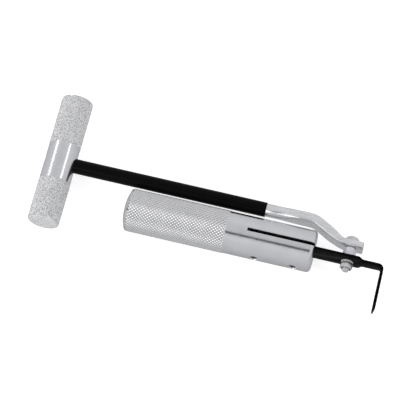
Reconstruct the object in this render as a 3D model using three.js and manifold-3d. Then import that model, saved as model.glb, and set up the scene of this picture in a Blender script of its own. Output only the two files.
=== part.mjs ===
// Windscreen removal knife: an L-shaped cutting blade clamped in the slotted end of a knurled
// aluminium grip, and a pull bar with a tee handle that swings on a bolt through the blade.
//
// Millimetres. +X runs along the grip, from the tee handle towards the blade, and +Z is up with
// the tool lying on its side. The pull bar lies beside the grip on +Y, the cutting leg points to -Y.
// Inside the tool group the origin is the middle of the grip's axis. The group is placed so that
// the origin of the whole object is the bottom centre of its bounding box.

import * as THREE from 'three';
import { mergeVertices } from 'three/addons/utils/BufferGeometryUtils.js';
import Module from 'manifold-3d';

const wasm = await Module();
wasm.setup();

const GAP = 0.3; // left between pieces that touch
const END_FLAT_RADIUS = 5; // flat middle of a domed bar end

// Grip
const GRIP_LENGTH = 134.3;
const GRIP_DIAMETER = 30;
const GRIP_SMOOTH_DIAMETER = 29.5;
const GRIP_KNURL_LENGTH = 72.3;
const GRIP_REAR_DOME = 1.8;
const GRIP_REAR_RADIUS = 2.6;
const GRIP_FRONT_RADIUS = 2.8;
const SLOT_DEPTH = 47.4;
const GRIP_FRONT = GRIP_LENGTH / 2;

// Clamp screws: M5 socket set screws that press the blade against the slot wall
const CLAMP_SCREW_DIAMETER = 5;
const CLAMP_SCREW_LENGTH = 12.8;
const CLAMP_SOCKET = 2.5; // across flats
const CLAMP_SOCKET_DEPTH = 3;
const CLAMP_SCREW_SETBACKS = { clamp_screw_front: 12.2, clamp_screw_rear: 39.5 }; // behind the grip's front

// Blade: a flat strip that stands on edge in the slot and ends in a leg bent towards -Y
const BLADE_THICKNESS = 2.1;
const BLADE_WIDTH = 17;
const BLADE_NARROW_WIDTH = 8.6;
const BLADE_GRIPPED = 46; // length inside the slot
const BLADE_REACH = 49.2; // from the grip's front to the outer face of the leg
const LEG_LENGTH = 34; // from the middle of the strip to the tip
const LEG_LEAN = THREE.MathUtils.degToRad(1);
const BEND_OUTER_RADIUS = 4;
const BEND_INNER_RADIUS = 1.2;
const TIP_BEVEL = 5;
const TIP_THICKNESS = 0.9;
const EDGE_BEVEL = 3;
const EDGE_THICKNESS = 0.3;
const SHOULDER_FROM_BOLT = 7.2;
const SHOULDER_LENGTH = 3.5;

// Pivot: an M5 bolt through the eye of the pull bar, a hexagonal spacer and the blade
const BOLT_FROM_GRIP = 23.75;
const BOLT_X = GRIP_FRONT + BOLT_FROM_GRIP;
const BOLT_DIAMETER = 5;
const BOLT_THREAD_DIAMETER = 4.8;
const BOLT_END = 2.2; // stands out of the nut
const HEX_ACROSS_FLATS = 8;
const HEAD_HEIGHT = 3.8;
const HEAD_TOP_DIAMETER = 6;
const SPACER_TOP_DIAMETER = 7.8;
const NUT_HEIGHT = 4;
const NUT_TURN = -18; // degrees about the bolt, its top flat leaning towards the grip
const NUT_FACE_DIAMETER = 8.2;
const LOCK_WASHER_DIAMETER = 8.5;
const LOCK_WASHER_THICKNESS = 1;
const LOCK_WASHER_SPLIT = 0.9;

// Pull bar: a steel rod beside the grip, flattened and joggled down to an eye on the bolt
const ROD_OFFSET = 22.6; // rod axis to grip axis
const ROD_DIAMETER = 9.2;
const ROD_CORE_DIAMETER = 8.2; // inside the sleeve
const ARM_THICKNESS = 6;
const ARM_WIDTH = 13.2;
const EYE_THICKNESS = 4.2;
const EYE_OFFSET = 10.8; // middle of the eye to the grip axis
const EYE_BEYOND_BOLT = 8.2;
const EYE_CORNER_RADIUS = 1.2;
const JOGGLE_START = BOLT_X - 28;
const JOGGLE_END = BOLT_X - 6.5;
const JOGGLE_RADII = [16, 12];
const EYE_TAPER_START = BOLT_X - 16;
const FLATTENING_START = BOLT_X - 56;
const FLATTENING_END = BOLT_X - 36;
const ROUND_POWER = 2; // squareness of the rod's section
const FLAT_POWER = 8;
const ROD_RINGS = 40; // sections along the shaped end of the rod
const SLEEVE_DIAMETER = 10.3;
const SLEEVE_END = BOLT_X - 63;
const SLEEVE_IN_TEE = 4; // how far the sleeve reaches into the tee's side

// Tee handle
const TEE_DIAMETER = 22.5;
const TEE_SMOOTH_DIAMETER = 22.1;
const TEE_LENGTH = 96.3;
const TEE_X = BOLT_X - 210.8;
const TEE_LOW_END = 46.9; // from the rod axis to the tee's lower end
const TEE_END_RADIUS = 2.2;
const TEE_END_DOME = 0.5;
const TEE_BAND = [-15.9, 12.6]; // smooth band between the knurls, from the rod axis
const TEE_SOCKET_END = -2; // bottom of the rod's socket, from the tee's axis

// Tee screw: an M4 cap screw through the tee into the end of the rod
const TEE_SCREW_DIAMETER = 3.6;
const TEE_SCREW_LENGTH = 10; // under the head
const TEE_SCREW_HEAD_DIAMETER = 7;
const TEE_SCREW_HEAD_HEIGHT = 4;
const TEE_SCREW_SOCKET = 3;
const TEE_SCREW_SUNK = 1.2; // below the tee's surface
const TAPPED_BEYOND_SCREW = 2; // how much deeper the rod's thread runs than the screw

const AROUND_LARGE = 48;
const AROUND_SMALL = 24;
const CUT_MARGIN = 1; // how far cutting solids run past what they cut
const SQRT3 = Math.sqrt(3);

// ---- solids ----

// A closed solid from a three.js geometry: shared vertices merged, collapsed triangles left out.
function solidOf(geometry) {
  const bare = geometry.clone();
  bare.deleteAttribute('normal');
  bare.deleteAttribute('uv');
  const merged = mergeVertices(bare, 1e-4);
  const corners = [];
  for (let i = 0; i < merged.index.count; i += 3) {
    const triangle = [0, 1, 2].map((k) => merged.index.getX(i + k));
    if (new Set(triangle).size === 3) corners.push(...triangle);
  }
  return new wasm.Manifold(new wasm.Mesh({
    numProp: 3,
    vertProperties: new Float32Array(merged.attributes.position.array),
    triVerts: new Uint32Array(corners),
  }));
}

function meshOf(name, solid, material) {
  const shape = solid.getMesh();
  const geometry = new THREE.BufferGeometry();
  geometry.setAttribute('position', new THREE.BufferAttribute(shape.vertProperties, 3));
  geometry.setIndex(new THREE.BufferAttribute(shape.triVerts, 1));
  geometry.computeVertexNormals();
  const mesh = new THREE.Mesh(geometry, material);
  mesh.name = name;
  return mesh;
}

// A solid of revolution about +Y from a path of (radius, height) points that runs upwards.
function turned(profile, around) {
  return solidOf(new THREE.LatheGeometry(profile.getPoints(4), around));
}

// A cylinder about +Y between two heights.
function cylinder(diameter, bottom, top, around = AROUND_SMALL) {
  const geometry = new THREE.CylinderGeometry(diameter / 2, diameter / 2, top - bottom, around);
  geometry.translate(0, (top + bottom) / 2, 0);
  return solidOf(geometry);
}

// A hexagonal prism about +Y between two heights, with a flat facing +Z.
function hexagon(acrossFlats, bottom, top) {
  const prism = cylinder((2 * acrossFlats) / SQRT3, bottom, top, 6);
  return prism.rotate([0, 30, 0]);
}

function box(low, high) {
  const size = high.map((value, i) => value - low[i]);
  const geometry = new THREE.BoxGeometry(...size);
  geometry.translate(...low.map((value, i) => value + size[i] / 2));
  return solidOf(geometry);
}

// A cone that trims a hexagon's corners: faceDiameter at the end face, opening at 30 degrees.
function cornerTrim(acrossFlats, faceDiameter, bottom, top, trimBottom) {
  const outer = acrossFlats / SQRT3 + CUT_MARGIN;
  const drop = (outer - faceDiameter / 2) * Math.tan(THREE.MathUtils.degToRad(30));
  const profile = new THREE.Path();
  profile.moveTo(0, bottom);
  if (trimBottom) {
    profile.lineTo(faceDiameter / 2, bottom);
    profile.lineTo(outer, bottom + drop);
  } else {
    profile.lineTo(outer, bottom);
  }
  profile.lineTo(outer, top - drop);
  profile.lineTo(faceDiameter / 2, top);
  profile.lineTo(0, top);
  return turned(profile, AROUND_SMALL);
}

// A bar about +Y with rounded ends: a flat middle, a shallow dome and a corner radius at each end.
function roundedEnds(radius, length, near, far) {
  const nearRim = radius - near.radius;
  const farRim = radius - far.radius;
  const profile = new THREE.Path();
  profile.moveTo(0, 0);
  profile.lineTo(END_FLAT_RADIUS, 0);
  profile.quadraticCurveTo((END_FLAT_RADIUS + nearRim) / 2, 0, nearRim, near.dome);
  profile.absarc(nearRim, near.dome + near.radius, near.radius, -Math.PI / 2, 0);
  profile.absarc(farRim, length - far.dome - far.radius, far.radius, 0, Math.PI / 2);
  profile.quadraticCurveTo((END_FLAT_RADIUS + farRim) / 2, length, END_FLAT_RADIUS, length);
  profile.lineTo(0, length);
  return turned(profile, AROUND_LARGE);
}

// A slight step down in diameter between two heights, as a ring to cut away.
function shallowBand(diameter, bandDiameter, bottom, top) {
  const ring = cylinder(diameter + 2 * CUT_MARGIN, bottom, top, AROUND_LARGE);
  return ring.subtract(cylinder(bandDiameter, bottom - CUT_MARGIN, top + CUT_MARGIN, AROUND_LARGE));
}

// ---- materials ----

const aluminium = () => new THREE.MeshStandardMaterial({ color: 0xc9cbcd, roughness: 0.35, metalness: 1 });
const platedSteel = () => new THREE.MeshStandardMaterial({ color: 0xb4b7b8, roughness: 0.3, metalness: 1 });
const blackSteel = () => new THREE.MeshStandardMaterial({ color: 0x1b1c1c, roughness: 0.45, metalness: 0.6 });
const blackPlastic = () => new THREE.MeshStandardMaterial({ color: 0x111112, roughness: 0.35, metalness: 0 });

// ---- grip ----

// The mesh is built along +Y from the rear end and turned to lie along +X.
function gripBody() {
  const rear = { radius: GRIP_REAR_RADIUS, dome: GRIP_REAR_DOME };
  const front = { radius: GRIP_FRONT_RADIUS, dome: 0 };
  const radius = GRIP_DIAMETER / 2;
  let grip = roundedEnds(radius, GRIP_LENGTH, rear, front);
  const smoothEnd = GRIP_LENGTH + CUT_MARGIN;
  grip = grip.subtract(shallowBand(GRIP_DIAMETER, GRIP_SMOOTH_DIAMETER, GRIP_KNURL_LENGTH, smoothEnd));
  const halfSlot = BLADE_THICKNESS / 2 + GAP;
  const reach = radius + CUT_MARGIN;
  grip = grip.subtract(box([-halfSlot, GRIP_LENGTH - SLOT_DEPTH, -reach], [halfSlot, smoothEnd, reach]));
  for (const setback of Object.values(CLAMP_SCREW_SETBACKS)) {
    const hole = cylinder(CLAMP_SCREW_DIAMETER + 2 * GAP, 0, reach).rotate([0, 0, -90]);
    grip = grip.subtract(hole.translate([0, GRIP_LENGTH - setback, 0]));
  }
  const mesh = meshOf('grip_body', grip, aluminium());
  mesh.rotation.z = -Math.PI / 2;
  mesh.position.x = -GRIP_LENGTH / 2;
  return mesh;
}

// Built along +Y, with the hexagon socket in the outer end, and laid along -Y.
function clampScrew(name, setback) {
  const length = CLAMP_SCREW_LENGTH;
  const socket = hexagon(CLAMP_SOCKET, length - CLAMP_SOCKET_DEPTH, length + CUT_MARGIN);
  const screw = cylinder(CLAMP_SCREW_DIAMETER, 0, length).subtract(socket);
  const mesh = meshOf(name, screw, blackSteel());
  mesh.rotation.x = Math.PI;
  mesh.position.set(GRIP_FRONT - setback, -BLADE_THICKNESS / 2 - GAP, 0);
  return mesh;
}

// ---- blade ----

// The L of the blade seen from above, with its thickness, running from the slot to the tip.
function bladeOutline() {
  const half = BLADE_THICKNESS / 2;
  const rear = GRIP_FRONT - BLADE_GRIPPED;
  const normal = new THREE.Vector2(Math.cos(LEG_LEAN), Math.sin(LEG_LEAN));
  const outer = new THREE.Vector2(GRIP_FRONT + BLADE_REACH - BEND_OUTER_RADIUS, half - BEND_OUTER_RADIUS);
  const faceDistance = normal.dot(outer) + BEND_OUTER_RADIUS;
  const faceX = (y, depth) => (faceDistance - depth - normal.y * y) / normal.x;
  const innerY = -half - BEND_INNER_RADIUS;
  const inner = new THREE.Vector2(faceX(innerY, BLADE_THICKNESS + BEND_INNER_RADIUS), innerY);
  const bevelY = -LEG_LENGTH + TIP_BEVEL;
  const outline = new THREE.Shape();
  outline.moveTo(rear, -half);
  outline.lineTo(inner.x, -half);
  outline.absarc(inner.x, inner.y, BEND_INNER_RADIUS, Math.PI / 2, LEG_LEAN, true);
  outline.lineTo(faceX(-LEG_LENGTH, BLADE_THICKNESS), -LEG_LENGTH);
  outline.lineTo(faceX(-LEG_LENGTH, BLADE_THICKNESS - TIP_THICKNESS), -LEG_LENGTH);
  outline.lineTo(faceX(bevelY, 0), bevelY);
  outline.absarc(outer.x, outer.y, BEND_OUTER_RADIUS, LEG_LEAN, Math.PI / 2, false);
  outline.lineTo(rear, half);
  return { outline, faceX };
}

// The width of the blade seen from the side: wide in the slot and at the bolt, narrow beyond.
function bladeWidthOutline() {
  const wide = BLADE_WIDTH / 2;
  const narrow = BLADE_NARROW_WIDTH / 2;
  const rear = GRIP_FRONT - BLADE_GRIPPED;
  const shoulder = BOLT_X + SHOULDER_FROM_BOLT;
  const middle = shoulder + SHOULDER_LENGTH / 2;
  const neck = shoulder + SHOULDER_LENGTH;
  const end = GRIP_FRONT + BLADE_REACH + 2 * CUT_MARGIN;
  const outline = new THREE.Shape();
  outline.moveTo(rear, -wide);
  outline.lineTo(shoulder, -wide);
  outline.bezierCurveTo(middle, -wide, middle, -narrow, neck, -narrow);
  outline.lineTo(end, -narrow);
  outline.lineTo(end, narrow);
  outline.lineTo(neck, narrow);
  outline.bezierCurveTo(middle, narrow, middle, wide, shoulder, wide);
  outline.lineTo(rear, wide);
  return outline;
}

// A wedge along the leg's lower side that grinds its inner face down to a cutting edge.
function edgeGrind(faceX) {
  const innerX = faceX(0, BLADE_THICKNESS) - CUT_MARGIN;
  const edgeX = faceX(0, EDGE_THICKNESS);
  const low = -BLADE_NARROW_WIDTH / 2;
  const rise = (EDGE_BEVEL * (edgeX - innerX)) / (BLADE_THICKNESS - EDGE_THICKNESS);
  const outline = new THREE.Shape();
  outline.moveTo(innerX, low);
  outline.lineTo(edgeX, low);
  outline.lineTo(innerX, low + rise);
  const length = LEG_LENGTH - BEND_OUTER_RADIUS;
  const geometry = new THREE.ExtrudeGeometry(outline, { depth: length, bevelEnabled: false });
  geometry.rotateX(Math.PI / 2);
  const wedge = solidOf(geometry).translate([-faceX(0, 0), -BEND_OUTER_RADIUS, 0]);
  const leaned = wedge.rotate([0, 0, THREE.MathUtils.radToDeg(LEG_LEAN)]);
  return leaned.translate([faceX(0, 0), 0, 0]);
}

function blade() {
  const { outline, faceX } = bladeOutline();
  const section = new THREE.ExtrudeGeometry(outline, { depth: BLADE_WIDTH, bevelEnabled: false, curveSegments: 10 });
  section.translate(0, 0, -BLADE_WIDTH / 2);
  const depth = LEG_LENGTH + BLADE_THICKNESS + 2 * CUT_MARGIN;
  const width = new THREE.ExtrudeGeometry(bladeWidthOutline(), { depth, bevelEnabled: false, curveSegments: 10 });
  width.rotateX(Math.PI / 2);
  width.translate(0, BLADE_THICKNESS / 2 + CUT_MARGIN, 0);
  const hole = cylinder(BOLT_DIAMETER + 2 * GAP, -BLADE_THICKNESS, BLADE_THICKNESS);
  const shaped = solidOf(section).intersect(solidOf(width)).subtract(hole.translate([BOLT_X, 0, 0]));
  return meshOf('blade', shaped.subtract(edgeGrind(faceX)), blackSteel());
}

// ---- pivot ----

// Heights of the pieces on the bolt, along +Y from the middle of the blade.
function pivotStack() {
  const washerTop = -BLADE_THICKNESS / 2 - GAP;
  const washerBottom = washerTop - LOCK_WASHER_THICKNESS;
  const nutTop = washerBottom - GAP;
  const nutBottom = nutTop - NUT_HEIGHT;
  const spacerBottom = BLADE_THICKNESS / 2 + GAP;
  const spacerTop = EYE_OFFSET - EYE_THICKNESS / 2 - GAP;
  const headBottom = EYE_OFFSET + EYE_THICKNESS / 2 + GAP;
  return { washerTop, washerBottom, nutTop, nutBottom, spacerBottom, spacerTop, headBottom };
}

function onBolt(mesh) {
  mesh.position.x = BOLT_X;
  return mesh;
}

function pivotBolt() {
  const { headBottom, nutTop, nutBottom } = pivotStack();
  const headTop = headBottom + HEAD_HEIGHT;
  const trim = cornerTrim(HEX_ACROSS_FLATS, HEAD_TOP_DIAMETER, headBottom, headTop, false);
  const head = hexagon(HEX_ACROSS_FLATS, headBottom, headTop).intersect(trim);
  const shank = cylinder(BOLT_DIAMETER, nutTop, headBottom + CUT_MARGIN);
  const thread = cylinder(BOLT_THREAD_DIAMETER, nutBottom - BOLT_END, nutTop + CUT_MARGIN);
  return onBolt(meshOf('pivot_bolt', head.add(shank).add(thread), platedSteel()));
}

function pivotSpacer() {
  const { spacerBottom, spacerTop } = pivotStack();
  const trim = cornerTrim(HEX_ACROSS_FLATS, SPACER_TOP_DIAMETER, spacerBottom, spacerTop, false);
  const hole = cylinder(BOLT_DIAMETER + 2 * GAP, spacerBottom - CUT_MARGIN, spacerTop + CUT_MARGIN);
  const spacer = hexagon(HEX_ACROSS_FLATS, spacerBottom, spacerTop).intersect(trim).subtract(hole);
  return onBolt(meshOf('pivot_spacer', spacer, platedSteel()));
}

function lockWasher() {
  const { washerBottom, washerTop } = pivotStack();
  const hole = cylinder(BOLT_DIAMETER + 2 * GAP, washerBottom - CUT_MARGIN, washerTop + CUT_MARGIN);
  const half = LOCK_WASHER_SPLIT / 2;
  const split = box([0, washerBottom - CUT_MARGIN, -half], [LOCK_WASHER_DIAMETER, washerTop + CUT_MARGIN, half]);
  const ring = cylinder(LOCK_WASHER_DIAMETER, washerBottom, washerTop).subtract(hole).subtract(split);
  return onBolt(meshOf('lock_washer', ring, platedSteel()));
}

function pivotNut() {
  const { nutBottom, nutTop } = pivotStack();
  const trim = cornerTrim(HEX_ACROSS_FLATS, NUT_FACE_DIAMETER, nutBottom, nutTop, true);
  const hole = cylinder(BOLT_THREAD_DIAMETER + 2 * GAP, nutBottom - CUT_MARGIN, nutTop + CUT_MARGIN);
  const prism = hexagon(HEX_ACROSS_FLATS, nutBottom, nutTop).rotate([0, NUT_TURN, 0]);
  const nut = prism.intersect(trim).subtract(hole);
  return onBolt(meshOf('pivot_nut', nut, platedSteel()));
}

// ---- pull bar ----

// Centre line of the rod seen from above: straight, down the joggle, straight through the eye.
function rodPath() {
  const slope = Math.atan2(ROD_OFFSET - EYE_OFFSET, JOGGLE_END - JOGGLE_START);
  const [first, second] = JOGGLE_RADII;
  const firstTangent = first * Math.tan(slope / 2);
  const secondTangent = second * Math.tan(slope / 2);
  const quarter = Math.PI / 2;
  const path = new THREE.Path();
  path.moveTo(SLEEVE_END, ROD_OFFSET);
  path.lineTo(JOGGLE_START - firstTangent, ROD_OFFSET);
  path.absarc(JOGGLE_START - firstTangent, ROD_OFFSET - first, first, quarter, quarter - slope, true);
  path.absarc(JOGGLE_END + secondTangent, EYE_OFFSET + second, second, -quarter - slope, -quarter, false);
  path.lineTo(BOLT_X + EYE_BEYOND_BOLT, EYE_OFFSET);
  return path;
}

// Half thickness, half width and squareness of the rod's section at x. The power grows as the
// rod is flattened; the eye's end has rounded corners.
function rodSection(x) {
  const flat = THREE.MathUtils.smoothstep(x, FLATTENING_START, FLATTENING_END);
  const eye = THREE.MathUtils.smoothstep(x, EYE_TAPER_START, JOGGLE_END);
  const armThickness = THREE.MathUtils.lerp(ARM_THICKNESS, EYE_THICKNESS, eye);
  const thickness = THREE.MathUtils.lerp(ROD_DIAMETER, armThickness, flat) / 2;
  const width = THREE.MathUtils.lerp(ROD_DIAMETER, ARM_WIDTH, flat) / 2;
  const intoCorner = Math.max(0, x - (BOLT_X + EYE_BEYOND_BOLT - EYE_CORNER_RADIUS));
  const corner = EYE_CORNER_RADIUS - Math.sqrt(Math.max(0, EYE_CORNER_RADIUS ** 2 - intoCorner ** 2));
  return { thickness, width: width - corner, power: THREE.MathUtils.lerp(ROUND_POWER, FLAT_POWER, flat) };
}

// The shaped end of the rod: a cylinder whose rings follow the path, each with its own section.
function shapedRod() {
  const path = rodPath();
  const geometry = new THREE.CylinderGeometry(1, 1, 1, AROUND_SMALL, ROD_RINGS);
  const position = geometry.attributes.position;
  for (let i = 0; i < position.count; i += 1) {
    const along = THREE.MathUtils.clamp(position.getY(i) + 0.5, 0, 1);
    const centre = path.getPointAt(along);
    const tangent = path.getTangentAt(along);
    const { thickness, width, power } = rodSection(centre.x);
    const acrossFlat = position.getX(i);
    const acrossWide = position.getZ(i);
    const inMiddleOfCap = Math.hypot(acrossFlat, acrossWide) < 0.5;
    const swell = (Math.abs(acrossFlat) ** power + Math.abs(acrossWide) ** power) ** (-1 / power);
    const reach = inMiddleOfCap ? 0 : swell;
    const side = acrossFlat * reach * thickness;
    position.setXYZ(i, centre.x - tangent.y * side, centre.y + tangent.x * side, -acrossWide * reach * width);
  }
  return solidOf(geometry);
}

// A cylinder along +X on the rod's axis.
function alongRod(diameter, from, to) {
  return cylinder(diameter, from, to).rotate([0, 0, -90]).translate([0, ROD_OFFSET, 0]);
}

function pullRod() {
  const rodEnd = TEE_X + TEE_SOCKET_END + GAP;
  const headEnd = TEE_X - TEE_DIAMETER / 2 + TEE_SCREW_SUNK + TEE_SCREW_HEAD_HEIGHT;
  const threadEnd = headEnd + TEE_SCREW_LENGTH + TAPPED_BEYOND_SCREW;
  const core = alongRod(ROD_CORE_DIAMETER, rodEnd, SLEEVE_END + CUT_MARGIN);
  const tapped = alongRod(TEE_SCREW_DIAMETER + 2 * GAP, rodEnd - CUT_MARGIN, threadEnd);
  const shaped = shapedRod().translate([GAP, 0, 0]);
  const eyeHole = cylinder(BOLT_DIAMETER + 2 * GAP, 0, ROD_OFFSET).translate([BOLT_X, 0, 0]);
  return meshOf('pull_rod', core.add(shaped).subtract(eyeHole).subtract(tapped), platedSteel());
}

function rodSleeve() {
  const start = TEE_X + TEE_DIAMETER / 2 - SLEEVE_IN_TEE + GAP;
  const bore = alongRod(ROD_CORE_DIAMETER + 2 * GAP, start - CUT_MARGIN, SLEEVE_END + CUT_MARGIN);
  return meshOf('rod_sleeve', alongRod(SLEEVE_DIAMETER, start, SLEEVE_END).subtract(bore), blackPlastic());
}

// ---- tee handle ----

function teeGrip() {
  const end = { radius: TEE_END_RADIUS, dome: TEE_END_DOME };
  const radius = TEE_DIAMETER / 2;
  const bar = roundedEnds(radius, TEE_LENGTH, end, end).translate([0, -TEE_LOW_END, 0]);
  const band = shallowBand(TEE_DIAMETER, TEE_SMOOTH_DIAMETER, ...TEE_BAND);
  const across = (diameter, from, to) => cylinder(diameter, from, to).rotate([0, 0, -90]);
  const socket = across(ROD_CORE_DIAMETER + 2 * GAP, TEE_SOCKET_END, radius + CUT_MARGIN);
  const sleeveSeat = across(SLEEVE_DIAMETER + 2 * GAP, radius - SLEEVE_IN_TEE, radius + CUT_MARGIN);
  const counterboreEnd = -radius + TEE_SCREW_SUNK + TEE_SCREW_HEAD_HEIGHT + GAP;
  const counterbore = across(TEE_SCREW_HEAD_DIAMETER + 2 * GAP, -radius - CUT_MARGIN, counterboreEnd);
  const through = across(TEE_SCREW_DIAMETER + 2 * GAP, -radius, 0);
  const bored = [band, socket, sleeveSeat, counterbore, through];
  const tee = bored.reduce((left, cut) => left.subtract(cut), bar);
  const mesh = meshOf('tee_grip', tee, aluminium());
  mesh.position.set(TEE_X, ROD_OFFSET, 0);
  return mesh;
}

// Built along +Y with the head at the bottom, and turned to point along +X into the rod.
function teeScrew() {
  const headEnd = TEE_SCREW_HEAD_HEIGHT;
  const shankEnd = headEnd + TEE_SCREW_LENGTH;
  const socket = hexagon(TEE_SCREW_SOCKET, -CUT_MARGIN, headEnd / 2);
  const head = cylinder(TEE_SCREW_HEAD_DIAMETER, 0, headEnd).subtract(socket);
  const screw = head.add(cylinder(TEE_SCREW_DIAMETER, headEnd - CUT_MARGIN, shankEnd));
  const mesh = meshOf('tee_screw', screw, platedSteel());
  mesh.rotation.z = -Math.PI / 2;
  mesh.position.set(TEE_X - TEE_DIAMETER / 2 + TEE_SCREW_SUNK, ROD_OFFSET, 0);
  return mesh;
}

// ---- assembly ----

const knife = new THREE.Group();
const tool = new THREE.Group();
knife.add(tool);
tool.add(gripBody());
for (const [name, setback] of Object.entries(CLAMP_SCREW_SETBACKS)) {
  tool.add(clampScrew(name, setback));
}
tool.add(blade());
tool.add(pivotBolt());
tool.add(pivotSpacer());
tool.add(lockWasher());
tool.add(pivotNut());
tool.add(pullRod());
tool.add(rodSleeve());
tool.add(teeGrip());
tool.add(teeScrew());

knife.updateMatrixWorld(true);
const bounds = new THREE.Box3().setFromObject(tool, true);
const centre = bounds.getCenter(new THREE.Vector3());
tool.position.set(-centre.x, -centre.y, -bounds.min.z);

export default knife;
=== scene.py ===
import math

import bmesh
import bpy
from mathutils import Matrix, Vector


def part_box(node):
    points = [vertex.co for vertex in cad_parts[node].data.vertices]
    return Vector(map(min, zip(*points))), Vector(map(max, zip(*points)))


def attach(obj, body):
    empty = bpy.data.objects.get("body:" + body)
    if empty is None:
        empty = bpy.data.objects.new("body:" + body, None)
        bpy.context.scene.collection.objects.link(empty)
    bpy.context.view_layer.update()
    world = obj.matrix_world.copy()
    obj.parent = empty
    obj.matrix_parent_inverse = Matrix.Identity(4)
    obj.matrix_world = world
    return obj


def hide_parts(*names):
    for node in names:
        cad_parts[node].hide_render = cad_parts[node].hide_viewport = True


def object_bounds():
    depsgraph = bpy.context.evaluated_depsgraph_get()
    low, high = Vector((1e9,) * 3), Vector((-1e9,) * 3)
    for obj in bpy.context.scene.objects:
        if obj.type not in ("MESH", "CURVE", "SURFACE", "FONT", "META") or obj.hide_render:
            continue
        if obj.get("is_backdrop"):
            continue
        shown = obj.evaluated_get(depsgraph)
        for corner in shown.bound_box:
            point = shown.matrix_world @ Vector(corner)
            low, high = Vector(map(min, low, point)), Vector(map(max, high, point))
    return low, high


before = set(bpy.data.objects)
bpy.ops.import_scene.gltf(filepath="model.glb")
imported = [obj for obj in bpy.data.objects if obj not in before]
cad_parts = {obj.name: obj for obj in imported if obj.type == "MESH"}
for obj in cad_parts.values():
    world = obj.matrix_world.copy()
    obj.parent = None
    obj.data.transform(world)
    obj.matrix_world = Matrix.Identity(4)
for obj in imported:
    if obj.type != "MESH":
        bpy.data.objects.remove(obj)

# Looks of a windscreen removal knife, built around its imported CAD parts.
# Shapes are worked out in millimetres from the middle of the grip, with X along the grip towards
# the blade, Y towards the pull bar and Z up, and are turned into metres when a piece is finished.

CAD_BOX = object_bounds()
MM = 0.001
GAP = 0.3  # left between the CAD pieces that touch
GRIP_LOW, GRIP_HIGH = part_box("grip_body")
ORIGIN = (GRIP_LOW + GRIP_HIGH) / 2

HANDLE_STEPS = 192  # round the grip and the tee
ROD_STEPS = 128  # round the rod's core and its sleeve
THREAD_STEPS = 40  # in one turn of a thread
WASHER_STEPS = 72
CLEAR = 2  # how far a cutter reaches past the surface it cuts
KNURL_FLAT = 0.36  # width of a diamond's flat crest to the diamond's own
KNURL_BED = 0.05  # from the bottom of a knurl's grooves down to the bar under it

# Camera: a long lens above the tool, a little to the blade's side
CAMERA_AZIMUTH = 13.5
CAMERA_ELEVATION = 67.5
CAMERA_ROLL = 0.4
CAMERA_DISTANCE = 1.864
CAMERA_LENS = 232.8
CAMERA_AIM = (-11.6, 14.3, 0)  # from the middle of the grip

# Grip
GRIP_SMOOTH_RADIUS = 14.75
GRIP_KNURL_LENGTH = 72.3
GRIP_REAR_DOME = 1.8
GRIP_REAR_RADIUS = 2.6
GRIP_FRONT_RADIUS = 2.8
GRIP_KNURL_TEETH = 40
GRIP_KNURL_LEAD = 2.57
GRIP_KNURL_DEPTH = 0.4
GRIP_KNURL_SETBACK = 0.9  # of the knurl's start from the rear dome
GRIP_BAND_OVERLAP = 0.3  # how far the smooth half reaches in under the knurl
GRIP_BAND_DROP = 0.12  # of its edge there, below the knurl's crests
GRIP_BAND_RINGS = (0.1, 0.4)  # past the knurl, where the smooth half has its full radius
SLOT_DEPTH = 47.4
SLOT_HALF = 1.1
SLOT_EDGE_RADIUS = 0.35
END_FLAT_RADIUS = 5
CLAMP_HOLE_RADIUS = 2.75
CLAMP_HOLE_CHAMFER = 0.5
CLAMP_HOLE_SINK = 0.2  # of the hole's chamfer below the grip's surface
CLAMP_SCREW_INSET = 0.1  # of its bare body inside its full radius
CLAMP_SCREW_LEAD = 0.5  # chamfer at the socket end
CLAMP_THREAD = (0.15, 0.12)  # of its root inside and its crest outside its full radius
CLAMP_SCREW_POINT = (0.6, 1)  # length and depth of the taper at the far end
CLAMP_SOCKET_FLATS = 2.5
CLAMP_SOCKET_DEPTH = 3
CLAMP_SOCKET_CHAMFER = ((-0.1, 1.75), (0.4, 1.25))  # (depth, radius) at its two ends

# Blade
LEG_LEAN = math.radians(1)
BLADE_NARROW_HALF = 4.3
BLADE_REACH = 49.2  # from the grip's front to the outer face of the leg
BEND_OUTER_RADIUS = 4
BEND_INNER_RADIUS = 1.2
TIP_BEVEL = 5
TIP_THICKNESS = 0.9
TIP_RADII = (0.2, 0.3)  # at the inner and outer corner of the tip
TIP_BEVEL_RADIUS = 1.5
EDGE_BEVEL = 3
EDGE_THICKNESS = 0.3
WEDGE_OVERRUN = 0.2  # of the cutter that grinds the edge, past the edge itself
SHOULDER_FROM_BOLT = 7.2
SHOULDER_LENGTH = 3.5
SHOULDER_EASE = 0.6
SHOULDER_RADIUS = 2
STRIP_CORNER_RADIUS = 1

# Pivot hardware
HEX_ACROSS_FLATS = 8
BOLT_RADIUS = 2.5
BOLT_ROOT_RADIUS = 2.15
BOLT_PITCH = 0.8
THREAD_CLEARANCE = 0.05
THREAD_BED = 0.15  # how far a thread's ridge starts below the root
THREAD_ROOT_HALF = 0.47  # half width of the ridge at its root, in pitches
THREAD_CREST_HALF = 0.07
BOLT_HOLE_RADIUS = 2.75
BOLT_POINT = (0.45, 0.25, 0.2)  # length, depth and rounding of the taper at the bolt's end
BOLT_THREAD_SETBACK = 0.35  # from the bolt's end
BOLT_THREAD_INTO_NUT = 2  # where the modelled thread stops, out of sight
HEAD_HEIGHT = 3.8
HEAD_TOP_RADIUS = 2.8
SPACER_TOP_RADIUS = 3.85
NUT_FACE_RADIUS = 4.05
NUT_COUNTERSINK = (1.8, 0.8)  # slope's reach past the hole 1 mm outside the face, and its depth
FAR_COUNTERSINK = (1.4, 0.4)  # the same on the face towards the pull bar
WASHER_CUT = 0.22  # angle of the split, in radians
WASHER_LIFT = 0.12  # height between its two ends
PAINTED_SHADE_FADE = 1.1  # over which the painted shade round the bolt fades out
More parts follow.
